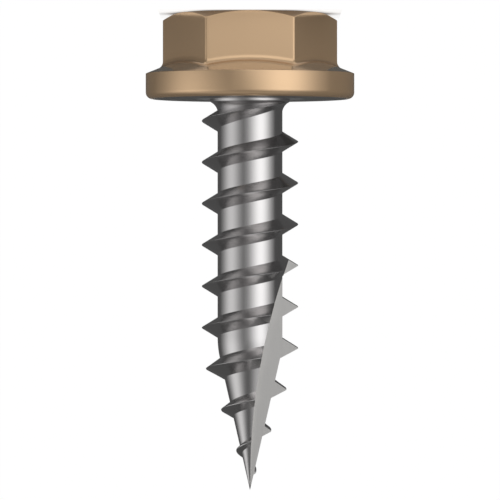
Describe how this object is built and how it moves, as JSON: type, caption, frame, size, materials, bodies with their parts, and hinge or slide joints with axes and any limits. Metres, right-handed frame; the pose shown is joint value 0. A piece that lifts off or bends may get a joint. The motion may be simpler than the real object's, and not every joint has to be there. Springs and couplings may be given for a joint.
{
  "type": "flanged hex head screw",
  "caption": "Coarse-threaded timber screw with a painted hex head, a round flange and a sharp point with a cutting notch; it stands on its flat head.",
  "frame": {"origin": "on the screw's axis, at the centre of the head's flat top, on which the screw stands", "axes": "+Z along the axis from the head to the tip; one hex face looks to -Y, and two hex edges lie on +X and -X"},
  "size_m": [0.0132, 0.0132, 0.03],
  "materials": {
    "painted_steel": "satin"
  },
  "bodies": {
    "root": {"flanged_screw": "painted_steel"}
  },
  "joints": []
}
